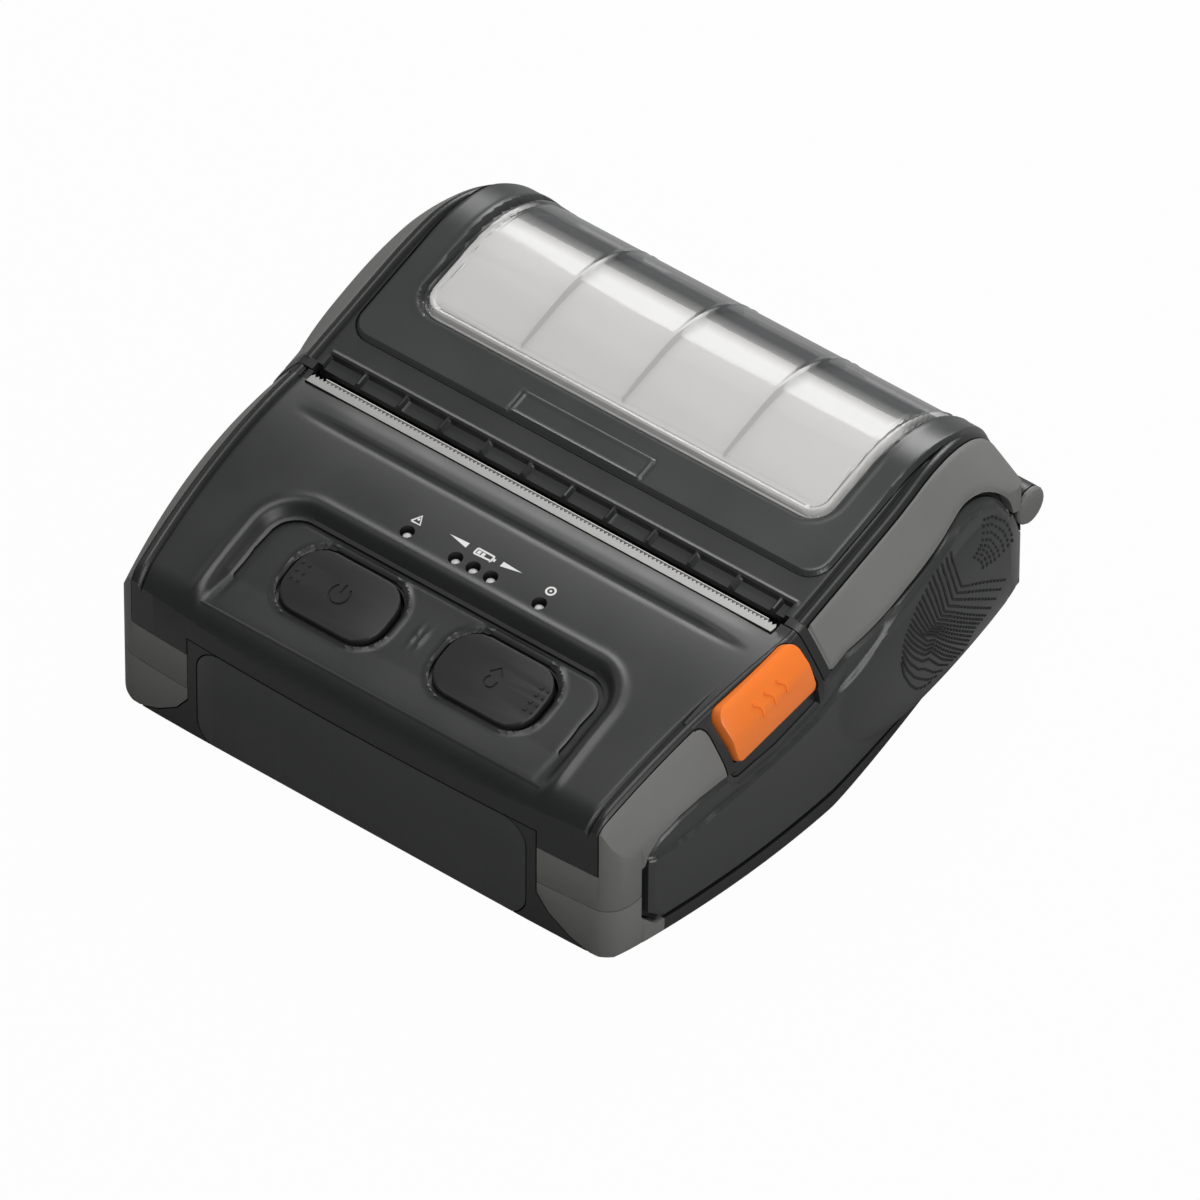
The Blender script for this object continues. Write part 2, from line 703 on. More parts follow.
def borderBead(x, y):
    # rounded bead and groove along the border, rounded off at the edge itself
    edge = borderAt(y) - abs(x)
    return 0.2 * bead(edge - 1.2, 0.6) - 0.75 * bead(edge - 2.5, 0.45) - 0.35 * (1 - ease(edge / 0.6))


lid = {
    "lip": -5.1, "lipReach": 2.9, "lipDepth": 1.1, "lipHalf": 58.3, "notchPitch": 10.45, "notchStart": -49.4,
    "notchWidth": 1.0, "heel": 38.6, "halfBarrel": 51.5, "pinHole": 2.2, "under": (25.3, 32.5),
    "sideStart": -6.9, "ribWidth": 2.0, "ribFrom": 59.4, "edgeDrop": 0.4, "edgeRound": 0.9,
    "panel": (59.3, 3.75, 63.95, 5.0), "panelProud": 0.8, "panelSink": 1.3, "margin": 1.2, "panelRound": 1.3,
    "window": (50.8, 15.45, 62.35, 5.0), "windowProud": 0.2, "windowSink": 2.2, "windowSeat": 3.2,
    "flange": 2.0, "flangeSink": 1.6, "shelf": 1.1, "rim": 1.5,
    "plate": (-18.8, 4.7, 14.0, 10.1, 0.9), "strip": (24.8, 62.65, 0.8),
    "ribs": (-27.0, -1.5, 24.0), "ribSpan": (18.0, 56.0), "webSpan": (19.0, 58.0), "webHalf": (0.05, 0.24),
    "arm": (56.8, 58.4), "armRadius": 5.2, "platen": (-0.5, 36.0), "bushRadius": 3.8,
}


def lidOutline(size, grow):
    half, front, rear, corner = size
    return roundedBox(-half - grow, front - grow, half + grow, rear + grow * 0.45, corner + grow)


def intoLid(size, x, y):
    half, front, rear, corner = size
    return intoBox(x, y, (-half, front, half, rear, corner))


def throughLid(size, grow):
    return upward(lidOutline(size, grow), 41)


def panelRegion(grow):
    return keep(throughLid(lid["panel"], grow), insideBorder(grow - lid["margin"], splitY, rearFace))


def seamLine(distance, y):
    # parting line between lid and tub seen from the side, moved outwards by a distance
    radius, slope = form["seamRadius"] + distance, form["seamSlope"]
    cy, cz = crownY + form["seamOffset"], form["seamHeight"]
    contactY, contactZ = cy - radius * math.sin(slope), cz + radius * math.cos(slope)
    return (arc(cy, cz, radius, radius, math.radians(10), quarter + slope, 40)
            + [(y, contactZ - (contactY - y) * math.tan(slope))])


def lidRelief(x, y):
    # border bead, the notches under the lip and the fine line behind them
    lift = borderBead(x, y)
    past = lid["lip"] + lid["lipReach"] - y
    half = lid["lipHalf"]
    if past > -1 and abs(x) < half + 0.7:
        along = (x - lid["notchStart"]) % lid["notchPitch"]
        rib = min(along, lid["notchPitch"] - along) - lid["notchWidth"] / 2
        lift -= lid["lipDepth"] * ease(rib / 0.5 + 0.5) * ease(past / 0.5) * ease((half - abs(x)) / 0.5)
        lift += 0.25 * bead(past + 0.5, 0.35)
    return lift


def panelRelief(x, y):
    # round edge, the shelf of the window, the framed bare plate and the strip behind the window
    edge = min(intoLid(lid["panel"], x, y), borderAt(y) - lid["margin"] - abs(x))
    lift = lid["panelProud"] - 1.0 * (1 - ease(edge / lid["panelRound"] + 0.1)) ** 2
    into = intoLid(lid["window"], x, y) + lid["shelf"]
    lift += 0.12 * bead(into + 1.1, 0.5) - 1.6 * ease((into + 0.35) / 0.5)
    plate = intoBox(x, y, lid["plate"])
    lift += 0.22 * ease(plate / 0.25 + 0.5)
    lift -= 0.2 * ease((plate - 0.55) / 0.25) + 0.12 * bead(plate + 0.35, 0.25)
    half, front, thickness = lid["strip"]
    return lift + thickness * ease((half - abs(x)) / 0.6) * ease((y - front) / 0.5)


def windowRelief(x, y):
    # round edge with two fine lines inside it, and a low rise along each rib
    edge = intoLid(lid["window"], x, y)
    lift = lid["windowProud"] + 0.35 * bead(edge - 0.9, 0.6) - 1.2 * (1 - ease(edge / 0.8)) ** 2
    lift -= 0.18 * bead(edge - lid["rim"] - 0.35, 0.16) + 0.1 * bead(edge - lid["rim"] - 1.0, 0.12)
    start, end = lid["ribSpan"]
    grown = ease((y - start) / (end - start))
    for rib in lid["ribs"]:
        lift += (0.05 + 0.12 * grown) * bead(x - rib, 0.2 + 0.3 * grown) * ease((y - start) / 3)
    return lift


lidStations = [splitY - 1] + spread(-6.5, 0, 26) + spread(0.7, lidStartY - 0.4, 48) + crownStations
paneStations = [splitY - 1] + spread(3, 20, 42) + spread(20.6, lidStartY - 0.3, 30) + crownStations
softSides = {}


def fineWhole():
    # smooth outer form for the pieces without a relief of their own
    if not softSides:
        stations = noseStations + spread(noseTangent, splitY, 42) + spread(splitY, lidStartY, 26)[1:-1]
        softSides["whole"] = fineForm(stations + crownStations, 30, 44)
    return linked("wholeCopy", softSides["whole"].data.copy())


def skin(region, thickness=wall):
    # shell of the smooth outer form inside a region
    return cutAway(keep(fineWhole(), region), plainForm(thickness))


def lidArm():
    # arm that reaches down to hold one bush of the platen
    platenY, platenZ = lid["platen"]
    radius, lip = lid["armRadius"], lid["lip"]
    rear, sink = platenY + 2 * radius, lid["windowSink"]
    outline = [(platenY - radius, topHeight(platenY) - wall)]
    outline += arc(platenY, platenZ, radius, radius, 2 * quarter, 4 * quarter, 20)
    outline += [(rear, topHeight(rear) - sink), (lip + gap, topHeight(lip) - sink)]
    return cutAway(sideways(outline, *lid["arm"]), rod(lid["bushRadius"], 0, 70, platenY, platenZ, 32))


def lidRib():
    # dark rib over the shoulder at the front end of the lid
    start, rear = lid["sideStart"], lid["sideStart"] + lid["ribWidth"]
    outline = [seamLine(0, start)[-1], seamLine(0, rear)[-1], (rear, 70), (start, 70)]
    return skin(sideways(outline, lid["ribFrom"]))


def makeLidShell():
    shell = keep(fineForm(lidStations, 300, 30, lidRelief), insideBorder(-halfGap, splitY, rearFace))
    shell = cutAway(shell, plainForm(wall))
    (underZ, underY), heel, half = lid["under"], lid["heel"], lid["halfBarrel"]
    outline = [(far, sky), (lid["lip"], sky), (lid["lip"], underZ), (underY, underZ),
               (hingeY - form["barrel"], heel), (far, heel)]
    shell = keep(shell, sideways(outline))
    seat = cutAway(panelRegion(gap), plainForm(lid["panelSink"] + gap))
    shell = cutAway(shell, seat, throughLid(lid["window"], lid["windowSeat"]))
    web = sideways(box(hingeY - 1.2, hingeZ, rearShell - gap, heel + 1.2), -half, half)
    shell = joined(shell, hingeRod(form["barrel"], -half, half), keep(web, plainForm(0.1)))
    arm, rib = lidArm(), lidRib()
    shell = joined(shell, mirroredCopy(arm), mirroredCopy(rib), arm, rib)
    shell = cutAway(shell, hingeRod(lid["pinHole"], -80, 80, 32))
    finished(shell, "lidShell", "texturedPolycarbonate", "lid", "lid_cover")


def windowWeb(x):
    # one rib of the pane, from a hair line in front to a broader dark line over the crown
    start, end = lid["webSpan"]
    front, rear = lid["webHalf"]

    def crest(y):
        return topHeight(y) + 0.03 - 0.35 * (1 - ease((y - start) / 6))

    wedge = [(x - front, start - 1), (x + front, start - 1), (x + rear, end + 1), (x - rear, end + 1)]
    return keep(bandAcross(lambda y: topHeight(y) - 2.15, crest, start, end), upward(wedge))


def makeLidTop():
    panel = keep(fineForm(paneStations, 300, 4, panelRelief), panelRegion(0))
    panel = cutAway(panel, plainForm(lid["panelSink"]), throughLid(lid["window"], gap))
    finished(panel, "lidRaisedPanel", "satinPolycarbonate", "lid", "lid_panel")
    pane = keep(fineForm(paneStations, 420, 4, windowRelief), throughLid(lid["window"], 0))
    inner = lid["windowSink"]
    flange = keep(plainForm(lid["flangeSink"]), throughLid(lid["window"], lid["flange"]))
    pane = joined(cutAway(pane, plainForm(inner)), cutAway(flange, plainForm(inner)))
    finished(pane, "lidWindowPane", "clearPolycarbonate", "lid", "lid_window")
    webs = joined(*[windowWeb(x) for x in lid["ribs"]])
    finished(webs, "windowRibs", "glossPolycarbonate", "lid")


def makeLidGrips():
    start, drop, radius = lid["sideStart"] + lid["ribWidth"] + gap, lid["edgeDrop"], lid["edgeRound"]
    seam, heel = seamLine(0, start), lid["heel"]

    def softFront(y):
        return drop * (1 - ease((y - start) / radius))

    def softEdges(x, y):
        return -drop * (1 - ease((abs(x) - borderAt(y)) / 0.8)) - softFront(y)

    def softSeam(y, z):
        near = nearestTo(seam, y, z) if z > 30 else 9
        return -drop * (1 - ease(near / radius)) - softFront(y)

    region = [(start, sky)] + seam[::-1] + [(hingeY, hingeZ), (hingeY, heel), (far, heel), (far, sky)]
    stations = [start - 1] + spread(start - 0.1, start + 2, 10) + spread(start + 3, lidStartY - 0.5, 36)
    whole = fineForm(stations + crownStations, 4, 70, softEdges, softSeam)
    grip = cutAway(whole, insideBorder(halfGap, -150, 150))
    grip = cutAway(keep(grip, sideways(region, 0.5)), plainForm(wall))
    grip = cutAway(grip, hingeRod(form["barrel"] + 2 * gap, 0, far))
    finishedPair(grip, "lidGrip", "greyElastomer", "lid", "lid_bumper")


makeLidShell()
makeLidTop()
makeLidGrips()
print("lid is made")

deck = {
    "pad": (44.0, -35.0, 9.0), "padDepth": 2.3, "padFade": 10.0, "padFloor": 1.9, "padWall": 1.8,
    "padRound": 2.2, "keyPlaces": (-19.3, 19.3), "keyY": -48.2, "keySize": (25.0, 15.0, 6.0),
    "keyClearance": 0.8, "keyProud": 1.0, "pips": (-1.0, 1.0),
    "lamps": (-16.6, -4.4, 0.0, 4.4, 16.6), "lampY": -30.3, "lampRadius": 1.1,
    "bar": (58.5, 1.7), "coverTop": 27.0, "patchTop": 22.6, "patchStart": 44.0,
    "ribWidth": 1.9, "ribReach": 2.4, "creaseY": -16.9, "creaseSpan": (-57.0, 59.0),
    "surround": 1.9, "surroundCorner": 2.5, "fingerDepth": 1.5,
}
button = {
    "y": -21.45, "length": 24.8, "inner": 5.5, "outer": 6.6, "corner": 3.0, "outerCorner": 1.4,
    "angle": math.radians(35), "foot": -3.6, "heel": (4.6, -1.9),
    "profile": ((-5.5, 0.6), (-4.0, 0.9), (0.6, 1.1), (1.6, 0.9), (6.6, -0.9)), "edge": 0.35,
    "lip": 1.2, "lipWidth": 4, "lipDepth": 0.8,
    "ridges": (-4.2, -0.4, 3.4), "ridgeWidth": 0.45, "stem": (61.95, -27.0, 36.6, 1.0),
}


def padFade(y):
    # 0 at the front, where the recess runs out over the nose, and 1 further back
    return min(max((y - frontFace - form["noseRadius"] / 6) / deck["padFade"], 0), 1)


def padHeight(y, depth):
    return topHeight(y) - depth * padFade(y)


def padBox(grow):
    half, rear, corner = deck["pad"]
    return -half - grow, frontFace - 60, half + grow, rear + grow, corner + grow


def keyBox(x, grow):
    length, width, corner = deck["keySize"]
    long, wide, y = length / 2 + grow, width / 2 + grow, deck["keyY"]
    return x - long, y - wide, x + long, y + wide, corner + grow


def deckRelief(x, y):
    # border bead, sunk recess with its raised rim, rings round the keys, crease by the slot, two pips
    lift = borderBead(x, y)
    into, fade = intoBox(x, y, padBox(0)), padFade(y)
    lift -= deck["padDepth"] * fade * ease(into / deck["padRound"] + 0.1)
    lift += 0.4 * ease(fade * 1.5) * bead(into + 1.3, 1.0)
    lift -= 0.25 * ease(fade) * bead(into - deck["padRound"] - 0.9, 0.7)
    for place in deck["keyPlaces"]:
        hole = intoBox(x, y, keyBox(place, deck["keyClearance"]))
        lift += 0.45 * bead(hole + 0.7, 0.45) - 0.2 * ease(hole + 0.5)
    start, end = deck["creaseSpan"]
    taper, behind = ease((x - start) / 14) * ease((end - x) / 14), y - deck["creaseY"]
    lift += taper * 0.6 * ease(behind / 1.5) - taper * 0.3 * bead(behind + 0.4, 0.7)
    lift -= taper * 0.35 * ease((behind - 3.2) / 3)
    for place in deck["pips"]:
        lift += 0.4 * bead(x - place, 0.3) * bead(y + 48.0, 2.0)
    return lift


def surroundRegion(grow):
    # dark part of the right shoulder round the button, seen from above
    front, corner = button["y"] - button["length"] / 2 - deck["surround"], deck["surroundCorner"]
    edge, rear = borderAt(front) - halfGap, splitY + halfGap + deck["ribWidth"]
    radius, middleY, inner = corner - grow, front - corner, edge - deck["ribReach"]
    outline = [(inner, middleY)] + arc(edge + corner, middleY, radius, radius, 2 * quarter, quarter, 12)
    return outline + [(far, middleY + radius), (far, rear), (inner, rear)]


def ontoShoulder(piece):
    y = button["y"]
    height = topHeight(y) - form["shoulderDrop"]
    middle = (borderAt(y) + sideAt(y, height)) / 2
    tilt = math.asin((splitY - y) / form["deckRadius"])
    turn = Matrix.Rotation(tilt, 4, "X") @ Matrix.Rotation(quarter - button["angle"], 4, "Y")
    place = Matrix.Translation((middle, y, topHeight(y) - form["shoulderDrop"] / 2))
    piece.data.transform(place @ turn)
    return piece


def buttonOutline(grow):
    # seen along its axis: its inner edge has round corners, its outer edge tight ones
    length, inner, outer = button["length"] / 2 + grow, -button["inner"] - grow, button["outer"] + grow
    corner, tight = button["corner"] + grow, button["outerCorner"] + grow
    right, left = outer - tight, inner + corner
    return (arc(right, tight - length, tight, tight, -quarter, 0, 8)
            + arc(right, length - tight, tight, tight, 0, quarter, 8)
            + arc(left, length - corner, corner, corner, quarter, 2 * quarter, 12)
            + arc(left, corner - length, corner, corner, 2 * quarter, 3 * quarter, 12))


def deckRegion(grow):
    rear = splitY + halfGap + deck["ribWidth"]
    start, patch, cover = [deck[size] + grow for size in ("patchStart", "patchTop", "coverTop")]
    outline = [(-far, patch), (-start, patch), (-start, cover), (start, cover), (start, patch), (far, patch),
               (far, sky), (-far, sky)]
    region = keep(prism(outline, -far, rear, "Y"), insideBorder(-halfGap, -far, rear))
    half, width = deck["bar"]
    return cutAway(region, upward(box(-half - gap, splitY - width / 2 - gap, half + gap, 60)))


sides = {
    "front": 8.9, "bottom": 6.8, "rear": 3.2, "inner": 61.2, "patchDepth": 14.0, "cornerSeam": 13.5,
    "seamRise": 0.32, "edge": ((0, 10.53), (2.94, 6.48), (7.98, 2.97), (14, 0.54)),
    "top": ((8.9, 22.8), (10.2, 26), (13, 28.8), (18.2, 31.1), (23.5, 32.5), (28.8, 33.3), (32.3, 33.7),
            (33.6, 30.9), (35, 30.2), (39.7, 31), (45.5, 31.5), (51.5, 32.9), (58.4, 34.4), (59.2, 35)),
    "crease": ((8, 23.6), (12.7, 23.7), (17.9, 23.9), (23.2, 24.8), (28.6, 26.1), (34.1, 27), (39.7, 28),
               (45.5, 28.8), (51.5, 29.6), (57.6, 30.7), (64, 32.6), (69.5, 35.5), (75.1, 39.2), (79.9, 43),
               (83.3, 44.9), (86, 46.2), (92, 47.9), (98.5, 48.9), (105.5, 49), (110.8, 47.9), (115.6, 45.1),
               (118.4, 40), (119, 36)),
    "creaseSink": 0.8, "grooveWidth": 1.5, "seamWidth": 0.9, "sealSink": 1.95,
    "port": (-44.25, 8.0, -24.25, 20.5, 2.5), "flapThickness": 1.6, "softEdge": 0.3,
}
for line in ("top", "crease"):
    sides[line] = [(frontFace + setback, z) for setback, z in sides[line]]


def panelHeel(margin):
    heel, low = form["heelLength"], sides["bottom"] + margin
    rearGap = form["barrel"] + gap + margin
    back, down = heel - sides["rear"] - margin, crownZ - form["foot"] - low
    return (arc(rearShell - heel, crownZ, back, down, -quarter, -0.16 * quarter, 30)
            + [(hingeY - rearGap, crownZ - rearGap / 2)])


def sidePanelOutline(distance):
    front, chin, bottom = frontFace + sides["front"], form["chinRadius"], sides["bottom"]
    outline = [(front + chin, bottom)] + panelHeel(0) + seamLine(-gap, lid["sideStart"])
    return drawnIn(outline + sides["top"][::-1] + [(front, bottom + chin)], distance)


def sidePanelBlock(distance):
    return sideways(sidePanelOutline(distance), sides["inner"])


def padBlock(upper):
    # walls or floor of the sunk recess, up to a height
    start, end = frontFace + form["noseRadius"] / 3, deck["pad"][1] + deck["padWall"]
    block = bandAcross(lambda y: padHeight(y, deck["padDepth"] + deck["padFloor"]), upper, start, end)
    return keep(block, upward(roundedBox(*padBox(deck["padWall"]))), plainForm(gap))


def makeSurround():
    # dark shoulder round the button, with a hollow for the finger
    y, drop, patch = button["y"], form["shoulderDrop"], deck["patchTop"]
    surround = skin(upward(surroundRegion(0), patch))
    surround = cutAway(surround, sideways(sidePanelOutline(-gap), 0))
    hollow = box(y - button["length"] / 2, patch, splitY + halfGap, topHeight(y) - drop)
    return cutAway(surround, cutAway(sideways(hollow, 0), plainForm(deck["fingerDepth"])))


def makeDeck():
    stations = noseStations + spread(noseTangent, splitY - 0.2, 90) + [splitY, splitY + 3]
    shell = keep(fineForm(stations, 260, 20, deckRelief), deckRegion(halfGap))
    shell = cutAway(shell, plainForm(wall))
    floor = padBlock(lambda y: padHeight(y, deck["padDepth"] + 0.9))
    rim = cutAway(padBlock(lambda y: topHeight(y) - 1.2), upward(roundedBox(*padBox(-0.2))))
    shell = joined(shell, rim, floor)
    for x in deck["keyPlaces"]:
        shell = cutAway(shell, upward(roundedBox(*keyBox(x, deck["keyClearance"])), 25))
    for x in deck["lamps"]:
        shell = cutAway(shell, post(deck["lampRadius"] + 1.5 * gap, x, deck["lampY"], 25, sky))
    foot, front = topHeight(splitY) - form["shoulderDrop"], splitY + halfGap
    rib = sideways(box(front, foot, front + deck["ribWidth"], 70), borderAt(splitY) - deck["ribReach"])
    rib = cutAway(keep(rib, plainForm(gap)), plainForm(wall))
    pocket = ontoShoulder(upward(buttonOutline(gap), -10, 10))
    shell = cutAway(joined(shell, mirroredCopy(rib), rib, makeSurround()), pocket)
    finished(shell, "deckShell", "texturedPolycarbonate", "base", "deck_cover")


makeDeck()
print("deck is made")


def seamHeight(y):
    return sides["cornerSeam"] + (y - frontFace - form["frontBow"]) * sides["seamRise"]


def frontBumperRegion(grow):
    rear, front, edge = splitY - halfGap - grow, frontFace - 60, halfGap + grow
    start, top, back = deck["patchStart"] + edge, deck["patchTop"] - edge, frontFace + sides["patchDepth"]
    shoulder = sideways(box(front, sides["cornerSeam"] + edge, rear, sky), 0)
    shoulder = cutAway(shoulder, insideBorder(edge, front, rearFace))
    patch = prism(box(start, 0, far, top), front, back, "Y")
    past = rear + 60
    under = [(front, -120), (past, -120), (past, seamHeight(past) + edge), (front, seamHeight(front) + edge)]
    return cutAway(joined(shoulder, patch), sideways(under, -1, 131), sidePanelBlock(-gap - grow))


def lowerCornerRegion(grow):
    start, front, rear = deck["patchStart"], frontFace - 60, frontFace + sides["patchDepth"]
    outline = [(start, 60)] + [(start + x, z) for x, z in sides["edge"]] + [(far, -60), (far, 60)]
    region = prism(drawnIn(outline, halfGap + grow), front, rear, "Y")
    before, past = front - 1, rear + 1
    heights = [seamHeight(y) - halfGap - grow for y in (past, before)]
    under = [(before, -120), (past, -120), (past, heights[0]), (before, heights[1])]
    return cutAway(keep(region, sideways(under, 0, 131)), sidePanelBlock(-gap - grow))


rim = sidePanelOutline(0)
panelRims = {
    "top": seamLine(-gap, lid["sideStart"]) + sides["top"][:5:-1],
    "front": [rim[0], rim[-1]] + sides["top"][:7],
    "low": rim[:32],
}


def gripSink(y, z):
    # rounded edges, the sunk band over the crease and the groove beside the front grip
    edge = min(nearestTo(panelRims["front"], y, z) - sides["grooveWidth"],
               nearestTo(panelRims["top"], y, z) - sides["seamWidth"], nearestTo(panelRims["low"], y, z))
    lift = -0.6 * (1 - ease(edge / 1.0))
    crease = sides["crease"]
    if crease[0][0] < y < crease[-1][0]:
        lift -= sides["creaseSink"] * ease((z - heightOn(crease, y)) / 0.7 + 0.5)
    return lift


def sideGrooves(narrower):
    # the grooves along the front grip and the lid, as wide as asked
    lines = ((panelRims["front"], sides["grooveWidth"]),
             (seamLine(-gap, lid["sideStart"]), sides["seamWidth"]))
    return [sideways(stroke(line, 2 * width - narrower), 0) for line, width in lines]


def makeSidePlates():
    stations = noseStations + spread(noseTangent, splitY, 90) + spread(splitY, lidStartY, 50)[1:-1]
    whole = fineForm(stations + crownStations, 4, 100, level, gripSink)
    hinge = form["barrel"] + gap
    plate = cutAway(keep(whole, sidePanelBlock(0)), plainForm(wall))
    plate = cutAway(plate, hingeRod(hinge, 0, far), *sideGrooves(0))
    seal = cutAway(keep(plainForm(sides["sealSink"]), sidePanelBlock(0.05)), plainForm(wall))
    seal = cutAway(keep(seal, joined(*sideGrooves(0.1))), hingeRod(hinge, 0, far))
    finishedPair(seal, "sideSeal", "nitrileRubber", "base")
    y0, z0, y1, z1, corner = sides["port"]
    hole = roundedBox(y0 - 0.5, z0 - 0.5, y1 + 0.5, z1 + 0.5, corner + 0.5)
    left = cutAway(mirroredCopy(plate), sideways(hole, -far, -61))
    finished(plate, "sidePlateRight", "satinPolycarbonate", "base", "side_panel_right")
    finished(left, "sidePlateLeft", "satinPolycarbonate", "base", "side_panel_left")
    flap = skin(sideways(roundedBox(*sides["port"]), -far, -sides["inner"]), sides["flapThickness"])
    finished(flap, "portFlapSkin", "greyElastomer", "port_flap", "port_flap", sides["softEdge"])


def makeFrontGrips():
    soft = sides["softEdge"]
    corner = skin(lowerCornerRegion(0))
    finishedPair(corner, "lowerCorner", "greyElastomer", "base", "lower_corner", soft)
    bumper = skin(frontBumperRegion(0))
    left = mirroredCopy(bumper)
    bumper = cutAway(bumper, upward(surroundRegion(gap), -20))
    finished(bumper, "frontGripRight", "greyElastomer", "base", "front_bumper_right", soft)
    finished(left, "frontGripLeft", "greyElastomer", "base", "front_bumper_left", soft)


makeSidePlates()
makeFrontGrips()
print("sides are made")

tub = {
    "above": 27.0, "heel": 29.2, "wallInner": 63.3, "wallThickness": 1.5, "wallFront": 18.5, "wallRear": 30,
    "wallNose": 22.0, "posts": ((-55.25, 27.9), (-26.75, 27.9), (-16.75, 27.2)), "postX": 47.0,
    "postRadius": 3.4, "bayWall": (41.1, 1.4), "bayTop": 22.9, "bayEnd": 0.85, "barrelEnd": 66.4,
    "coverFront": 60, "coverRear": 10, "cover": (-41.4, 1.2, 41.4, 26.7, 6.0), "coverThickness": 2.8,
    "feet": (-44.75, 27.25), "footX": 52.0, "footRadius": 5.0, "footSeat": 1.9,
    "screws": (-55.25, -26.75), "screwHoles": ((2.9, 3.3, 32), (1.55, 12.3, 24)), "portMargin": 1.25,
}


def coverBlock(grow):
    x0, z0, x1, z1, corner = tub["cover"]
    outline = roundedBox(x0 - grow, z0 - grow, x1 + grow, z1 + grow, corner + grow)
    return prism(outline, frontFace - tub["coverFront"], frontFace + tub["coverRear"], "Y")


def tubCovered():
    # what the pieces over the tub take up
    covered = [sideways(sidePanelOutline(-gap), sides["inner"] - gap), frontBumperRegion(-gap),
               lowerCornerRegion(-gap)]
    return [mirroredCopy(piece) for piece in covered] + covered + [deckRegion(-halfGap)]


def tubSideWall():
    # inner wall behind the side plate
    start, inner, bottom = frontFace + tub["wallFront"], tub["wallInner"], sides["bottom"]
    outer = inner + tub["wallThickness"]
    outline = [(start, bottom + wall)] + panelHeel(wall) + seamLine(-gap - wall, splitY)[1:]
    upper = sideways(outline + [(start, tub["wallNose"])], inner, outer)
    lower = sideways(box(start, form["foot"], tub["wallRear"], bottom + 2 * wall), inner, outer)
    plates = cutAway(plainForm(-gap), plainForm(wall + gap))
    behind = keep(plates, sideways(sidePanelOutline(-gap), sides["inner"] - gap))
    return cutAway(keep(joined(upper, lower), plainForm(gap)), behind)


def tubFittings(floor):
    # side wall, battery bay wall, screw posts and hinge barrel of the right side
    half, thickness = tub["bayWall"]
    bay = sideways(box(frontFace + 10, floor, tub["bayEnd"], tub["bayTop"]), half, half + thickness)
    posts = [post(tub["postRadius"], tub["postX"], y, floor, top) for y, top in tub["posts"]]
    start, inner = lid["halfBarrel"] + gap, sides["inner"] - wall
    barrel = hingeRod(form["barrel"], start, tub["barrelEnd"])
    web = sideways(box(hingeY - halfGap, tub["heel"] - wall, rearShell - gap, hingeZ), start, inner)
    return [tubSideWall(), bay] + posts + [barrel, keep(web, plainForm(gap))]


def makeTub():
    front, above, heel = frontFace - 60, tub["above"], tub["heel"]
    shell = cutAway(fineWhole(), plainForm(wall), *tubCovered())
    cut = [(front, above), (splitY, above), (hingeY, heel), (far, heel), (far, sky), (front, sky)]
    shell = cutAway(shell, sideways(cut))
    floor = form["foot"] + wall - halfGap
    fittings = tubFittings(floor)
    shell = joined(shell, *[mirroredCopy(piece) for piece in fittings], *fittings)
    (half, thickness), end = tub["bayWall"], tub["bayEnd"]
    shell = joined(shell, sideways(box(end, floor, end + thickness, 8), -half - thickness, half + thickness))
    shell = cutAway(shell, hingeRod(lid["pinHole"], -80, 80, 32), coverBlock(gap))
    for side in (-1, 1):
        for y in tub["screws"]:
            holes = [post(radius, side * tub["postX"], y, -20, top, steps)
                     for radius, top, steps in tub["screwHoles"]]
            shell = cutAway(shell, *holes)
        for y in tub["feet"]:
            foot = post(tub["footRadius"] + gap, side * tub["footX"], y, -20, tub["footSeat"], 40)
            shell = cutAway(shell, foot)
    (y0, z0, y1, z1, corner), margin = sides["port"], tub["portMargin"]
    port = roundedBox(y0 + margin, z0 + margin, y1 - margin, z1 - margin, corner - margin)
    shell = cutAway(shell, sideways(port, -far, -44))
    finished(shell, "tubShell", "texturedPolycarbonate", "base", "bottom_case")
    cover = skin(coverBlock(0), tub["coverThickness"])
    finished(cover, "batteryFront", "satinPolycarbonate", "battery", "battery_cover", 0.5)


makeTub()
print("tub is made")

# Places of the dots and bars are seen from the middle of their key
keys = {
    "chamfer": 0.8, "flange": 1.6, "flangeThickness": 1.2, "stemRadius": 2.5, "stemFoot": 35.2, "deboss": 0.3,
    "proud": 0.22, "symbol": 2.2, "line": 0.5, "dotRadius": 0.34, "half": 9,
    "dots": [(x, y) for y in (2.2, 0.2, -1.6) for x in (-11.0, -9.3)],
    "bars": (-2.4, -0.6, 1.2, 3.0), "barLine": 0.7, "barDot": 0.36,
}
lens = {"radius": 0.95, "sink": 0.9, "dome": 0.4, "foot": 29.7}
signs = {"height": 2.1, "line": 0.42, "row": -26.6, "wedges": ((-9.2, -4.4), (9.0, 4.2)), "proud": 0.03}


def keyTop(y):
    return padHeight(y, deck["padDepth"]) + deck["keyProud"]


